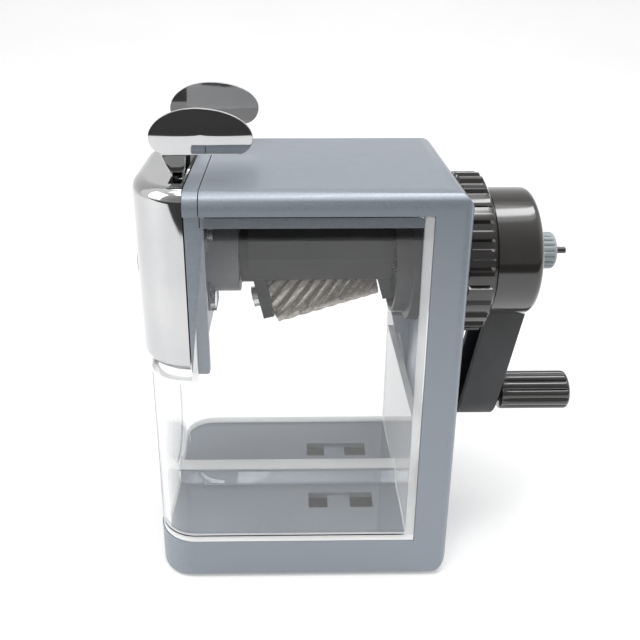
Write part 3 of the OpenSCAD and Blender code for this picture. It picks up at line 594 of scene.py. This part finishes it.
def make_paddle(side_name, sign, body, low, high):
    """The curled finger paddle, from rings that grow from its middle to its outline."""
    node = "clamp_lever_" + side_name
    length, height = high.x - low.x, PADDLE_H
    z0 = high.z - height
    rim = paddle_outline(length, height, height * 0.38)
    centre = (length * 0.5, height * 0.45)
    rings = 9
    verts, faces = [(low.x + centre[0], sign * paddle_y(centre[1]), z0 + centre[1])], []
    for ring in range(1, rings + 1):
        share = math.sin(ring / rings * math.pi / 2)
        for px, pz in rim:
            x, z = centre[0] + (px - centre[0]) * share, centre[1] + (pz - centre[1]) * share
            verts.append((low.x + x, sign * paddle_y(z), z0 + z))
    count = len(rim)
    for k in range(count):
        faces.append((0, 1 + k, 1 + (k + 1) % count))
    for ring in range(rings - 1):
        for k in range(count):
            a, b = 1 + ring * count + k, 1 + ring * count + (k + 1) % count
            faces.append((a, b, b + count, a + count))
    paddle = mesh_object("paddle_" + side_name, verts, faces, "chrome", body, 80)
    add_modifier(paddle, "SOLIDIFY", thickness=LEVER_SHEET, offset=0.0)
    add_modifier(paddle, "SUBSURF", levels=2, render_levels=2)
    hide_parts(node)


def curve_through(path, steps):
    """Points of a smooth curve through a path, with the same number of steps in each stretch."""
    fine = []
    last = len(path) - 1
    for i in range(last):
        corners = (path[max(i - 1, 0)], path[i], path[i + 1], path[min(i + 2, last)])
        for step in range(steps):
            t = step / steps
            fine.append(tuple(
                0.5 * (2 * b + (c - a) * t + (2 * a - 5 * b + 4 * c - d) * t * t
                       + (3 * b - a - 3 * c + d) * t ** 3)
                for a, b, c, d in zip(*corners)))
    fine.append(path[-1])
    return fine


def make_stem(side_name, sign, body, high, pivot):
    """Stem, bend and jaw arm: a sheet strip along a path in Y and Z."""
    z0 = high.z - PADDLE_H
    half, columns, smooth_steps = 1.5 * MM, 4, 4
    jaw = sign * 4.3 * MM
    # Each row is Y, Z, half the strip's width and how far it shifts along X
    path = [
        (sign * paddle_y(2.2 * MM), z0 + 2.2 * MM, 3.6 * MM, -1.6 * MM),
        (sign * (PADDLE_Y - 2.0 * MM), z0, 3.3 * MM, -1.2 * MM),
        (sign * (PADDLE_Y - 1.4 * MM), z0 - 3.2 * MM, 2.5 * MM, -0.5 * MM),
        (sign * (PADDLE_Y - 1.6 * MM), z0 - 6.5 * MM, half, 0.0),
        (pivot.y + sign * 4.6 * MM, pivot.z + 6.5 * MM, half, 0.0),
        (pivot.y + sign * 0.8 * MM, pivot.z + 1.0 * MM, half, 0.0),
        (pivot.y - sign * 1.4 * MM, pivot.z - 3.2 * MM, half, 0.0),
        (jaw, AXIS_Z + 4.4 * MM, half, 0.0),
        (jaw, AXIS_Z - 4.0 * MM, half, 0.0),
    ]
    fine = curve_through(path, smooth_steps)
    verts, faces = [], []
    for y, z, half_w, shift in fine:
        for c in range(columns + 1):
            verts.append((pivot_x() + shift + half_w * (2 * c / columns - 1), y, z))
    for i in range(len(fine) - 1):
        for c in range(columns):
            a = i * (columns + 1) + c
            faces.append((a, a + 1, a + columns + 2, a + columns + 1))
    stem = mesh_object("lever_stem_" + side_name, verts, faces, "chrome", body, 80)
    add_modifier(stem, "SOLIDIFY", thickness=LEVER_SHEET, offset=0.0)
    add_modifier(stem, "BEVEL", width=0.25 * MM, segments=2, limit_method="ANGLE",
                 angle_limit=math.radians(50))


def make_barrel(side_name, body, pivot):
    """The barrel that turns on the lever's pin."""
    half, edge = 1.5 * MM, 0.2 * MM
    bore, outer = 1.4 * MM, 2.6 * MM
    x0, x1 = pivot_x() - half, pivot_x() + half
    profile = [(x0, bore), (x0, 2.4 * MM), (x0 + edge, outer), (x1 - edge, outer),
               (x1, 2.4 * MM), (x1, bore)]
    barrel = lathe("lever_barrel_" + side_name, profile, "chrome", body, pivot.z, 48)
    for v in barrel.data.vertices:
        v.co.y += pivot.y


def make_lever(side_name, sign):
    """A chromed sheet lever. sign is 1 on the left and -1 on the right."""
    body = "lever_" + side_name
    low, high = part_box("clamp_lever_" + side_name)
    joint = next(j for j in frame["joints"] if j["name"] == body + "_turn")
    pivot = Vector(joint["pos_m"])
    make_paddle(side_name, sign, body, low, high)
    make_stem(side_name, sign, body, high, pivot)
    make_barrel(side_name, body, pivot)


make_lever("left", 1)
make_lever("right", -1)


# ---------------------------------------------------------------- chrome cover

def cover_solid(name, inset, grow_rear):
    """A closed block with the cover's curved shape, inset evenly.
    It isn't linked to the scene."""
    low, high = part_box("carriage_cover")
    corner_w, top_r, low_r = 18 * MM, 3.6 * MM, 2.4 * MM
    x1, z0, z1 = high.x, low.z + inset, high.z - inset
    length = x1 - low.x

    def plan(shrink):
        across_r, along_r = corner_w - inset - shrink, length - inset - shrink
        points = [(x1 + grow_rear, high.y - inset - shrink)]
        for sign, start in ((1, 90), (-1, 180)):
            centre = sign * (high.y - corner_w)
            for px, py in arc((0, 0), 1, start, start + 90, 28):
                points.append((x1 + px * along_r, centre + py * across_r))
        points.append((x1 + grow_rear, -(high.y - inset - shrink)))
        return points

    levels = []
    for i in range(9):
        a = math.pi / 2 * i / 8
        levels.append((low_r * (1 - math.sin(a)), z0 + low_r * (1 - math.cos(a))))
    for i in range(1, 8):
        levels.append((0.0, z0 + low_r + (z1 - top_r - z0 - low_r) * i / 8))
    for i in range(11):
        a = math.pi / 2 * i / 10
        levels.append((top_r * (1 - math.cos(a)), z1 - top_r + top_r * math.sin(a)))
    verts, faces = [], []
    for shrink, z in levels:
        verts += [(x, y, z) for x, y in plan(shrink)]
    n = len(plan(0))
    for i in range(len(levels) - 1):
        for k in range(n):
            m = (k + 1) % n
            faces.append((i * n + k, i * n + m, (i + 1) * n + m, (i + 1) * n + k))
    faces.append(tuple(range(n)))
    faces.append(tuple(range(len(levels) * n - 1, (len(levels) - 1) * n - 1, -1)))
    mesh = bpy.data.meshes.new(name)
    mesh.from_pydata(verts, [], faces)
    bm = bmesh.new()
    bm.from_mesh(mesh)
    bmesh.ops.remove_doubles(bm, verts=bm.verts, dist=0.000001)
    bmesh.ops.recalc_face_normals(bm, faces=bm.faces)
    bm.to_mesh(mesh)
    bm.free()
    return bpy.data.objects.new(name, mesh)


def tool_box(name, low, high):
    """A plain box that only cuts another piece."""
    bm = bmesh.new()
    bmesh.ops.create_cube(bm, size=1)
    for v in bm.verts:
        v.co = Vector([middle(a, b) + c * (b - a) for a, b, c in zip(low, high, v.co)])
    mesh = bpy.data.meshes.new(name)
    bm.to_mesh(mesh)
    bm.free()
    return bpy.data.objects.new(name, mesh)


def tool_rod(name, radius, x0, x1, z):
    """A plain rod along X that only cuts another piece."""
    bm = bmesh.new()
    bmesh.ops.create_cone(bm, cap_ends=True, segments=64, radius1=radius, radius2=radius,
                          depth=x1 - x0)
    turn = Matrix.Translation((middle(x0, x1), 0, z)) @ Matrix.Rotation(math.pi / 2, 4, "Y")
    bmesh.ops.transform(bm, matrix=turn, verts=bm.verts)
    mesh = bpy.data.meshes.new(name)
    bm.to_mesh(mesh)
    bm.free()
    return bpy.data.objects.new(name, mesh)


def carve(obj, tools):
    """Cuts the tools out of a piece and removes them."""
    collection = bpy.context.scene.collection
    for tool in tools:
        collection.objects.link(tool)
        mod = add_modifier(obj, "BOOLEAN", operation="DIFFERENCE", solver="EXACT")
        mod.object = tool
    bpy.context.view_layer.update()
    evaluated = obj.evaluated_get(bpy.context.evaluated_depsgraph_get())
    cut = bpy.data.meshes.new_from_object(evaluated)
    obj.modifiers.clear()
    obj.data = cut
    for tool in tools:
        bpy.data.objects.remove(tool)


def make_cover():
    """The chrome cover: a curved sheet shell with the levers' slot and the pencil port."""
    low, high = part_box("carriage_cover")
    sheet, port_r = 1.2 * MM, 6.8 * MM
    cover = cover_solid("carriage_cover_shell", 0.0, 0.0)
    bpy.context.scene.collection.objects.link(cover)
    x_lever = pivot_x()
    slot_half = 21.5 * MM
    carve(cover, [
        cover_solid("cover_inside", sheet, 1 * MM),
        tool_box("lever_slot", (x_lever - 2.0 * MM, -slot_half, high.z - 5 * MM),
                 (x_lever + 1.4 * MM, slot_half, high.z + 2 * MM)),
        tool_rod("port", port_r, low.x - 2 * MM, low.x + 5 * MM, AXIS_Z),
    ])
    dress(cover, "chrome")
    smooth(cover, 30)
    add_modifier(cover, "WEIGHTED_NORMAL", keep_sharp=True)
    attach(cover, "carriage")
    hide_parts("carriage_cover")


make_cover()


# ---------------------------------------------------------------- finish of the CAD nodes

def soften(node, width=0.3, angle=38):
    """Rounds the hard edges of a CAD node that shows, without changing its mesh."""
    obj = NODES[node]
    add_modifier(obj, "WELD", merge_threshold=0.00001)
    add_modifier(obj, "BEVEL", width=width * MM, segments=2, limit_method="ANGLE",
                 angle_limit=math.radians(angle), harden_normals=False)
    add_modifier(obj, "WEIGHTED_NORMAL", keep_sharp=True)


for node_name, width in (("crank_arm", 0.45), ("front_frame", 0.3), ("front_hub", 0.3),
                         ("cutter_carrier", 0.3), ("gear_housing", 0.3),
                         ("carriage_plate", 0.3), ("body_shell", 0.25)):
    soften(node_name, width)


# ---------------------------------------------------------------- stage

def area_light(name, size, energy, location, target=(0, 0, 0.06)):
    """A soft rectangular lamp that points at a target."""
    lamp = bpy.data.lights.new(name, "AREA")
    lamp.shape = "RECTANGLE"
    lamp.size, lamp.size_y = size
    lamp.energy = energy
    obj = bpy.data.objects.new(name, lamp)
    bpy.context.scene.collection.objects.link(obj)
    obj.location = location
    obj.rotation_euler = (Vector(target) - Vector(location)).to_track_quat("-Z", "Y").to_euler()
    return obj


def make_floor():
    """A pale floor that runs up into a backdrop."""
    bm = bmesh.new()
    radius, far, near, top, half, steps = 0.6, 1.2, -2.4, 2.4, 3.0, 16
    drop = 0.00005
    rows = [(near, 0.0), (far - radius, 0.0)]
    for i in range(1, steps + 1):
        a = i / steps * math.pi / 2
        rows.append((far - radius + radius * math.sin(a), radius - radius * math.cos(a)))
    rows.append((far, top))
    strips = [[bm.verts.new((x, y, z - drop)) for x in (-half, half)] for y, z in rows]
    for low, high in zip(strips, strips[1:]):
        bm.faces.new((low[0], low[1], high[1], high[0]))
    mesh = bpy.data.meshes.new("floor")
    bm.to_mesh(mesh)
    bm.free()
    floor = bpy.data.objects.new("floor", mesh)
    bpy.context.scene.collection.objects.link(floor)
    for poly in mesh.polygons:
        poly.use_smooth = True
    mat, tree, shader = new_material("pale_floor")
    tint(tree, shader, noise_tex(tree, 8, 2), (0.75, 0.75, 0.75), (0.77, 0.77, 0.77))
    shader.inputs["Roughness"].default_value = 0.55
    shader.inputs["Emission Color"].default_value = (1.0, 1.0, 1.0, 1)
    shader.inputs["Emission Strength"].default_value = 0.22
    mesh.materials.append(mat)


def card(name, low, high, value):
    """A flat dark card off the picture, which only reflections see."""
    mesh = bpy.data.meshes.new(name)
    corners = [(low[0], low[1], low[2]), (high[0], low[1], low[2]),
               (high[0], high[1], high[2]), (low[0], high[1], high[2])]
    mesh.from_pydata(corners, [], [(0, 1, 2, 3)])
    obj = bpy.data.objects.new(name, mesh)
    bpy.context.scene.collection.objects.link(obj)
    mat, tree, shader = new_material(name)
    tint(tree, shader, noise_tex(tree, 6, 2), (value * 0.8,) * 3, (value * 1.2,) * 3)
    shader.inputs["Roughness"].default_value = 0.8
    mesh.materials.append(mat)
    obj.visible_camera = False


def shade_world(tree):
    """A studio that is white overhead and behind the object, and dim on the near side."""
    coords = tree.nodes.new("ShaderNodeTexCoord")
    split = tree.nodes.new("ShaderNodeSeparateXYZ")
    ramp = tree.nodes.new("ShaderNodeMapRange")
    ramp.interpolation_type = "SMOOTHSTEP"
    ramp.inputs["From Min"].default_value = -0.95
    ramp.inputs["From Max"].default_value = 0.1
    ramp.inputs["To Min"].default_value = 0.36
    ramp.inputs["To Max"].default_value = 1.05
    tree.links.new(coords.outputs["Generated"], split.inputs["Vector"])
    tree.links.new(split.outputs["Y"], ramp.inputs["Value"])
    tree.links.new(ramp.outputs["Result"], tree.nodes["Background"].inputs["Strength"])
    tree.nodes["Background"].inputs["Color"].default_value = (1.0, 1.0, 1.0, 1)


def make_stage():
    """The floor, the world, soft lamps and one dark card in front."""
    make_floor()
    world = bpy.data.worlds.new("studio")
    world.use_nodes = True
    shade_world(world.node_tree)
    bpy.context.scene.world = world
    area_light("top", (0.9, 0.7), 2.6, (0.05, -0.05, 1.0))
    area_light("strip", (1.0, 0.16), 3.4, (0.1, -0.12, 0.85))
    area_light("left", (0.5, 0.7), 2.6, (-0.75, -0.25, 0.5))
    card("card_front", (-3.0, -2.3, 0.002), (3.0, -0.30, 0.002), 0.02)


def make_camera():
    """The camera, at the viewing angle of a low table-top product shot."""
    data = bpy.data.cameras.new("camera")
    data.sensor_width = 36.0
    data.lens = 41.821875
    data.shift_x, data.shift_y = 0.03, -0.15
    cam = bpy.data.objects.new("camera", data)
    bpy.context.scene.collection.objects.link(cam)
    cam.location = (-0.00325, -0.2013, 0.1760)
    cam.rotation_mode = "XYZ"
    pitch, yaw, roll = (math.radians(a) for a in (20.42, 0.83, -0.08))
    look = Matrix.Rotation(-yaw, 4, "Z") @ Matrix.Rotation(math.pi / 2 - pitch, 4, "X")
    look = look @ Matrix.Rotation(-roll, 4, "Z")
    cam.rotation_euler = look.to_euler()
    data.clip_start, data.clip_end = 0.01, 20
    bpy.context.scene.camera = cam


make_stage()
make_camera()
bpy.context.scene.view_settings.view_transform = "Standard"
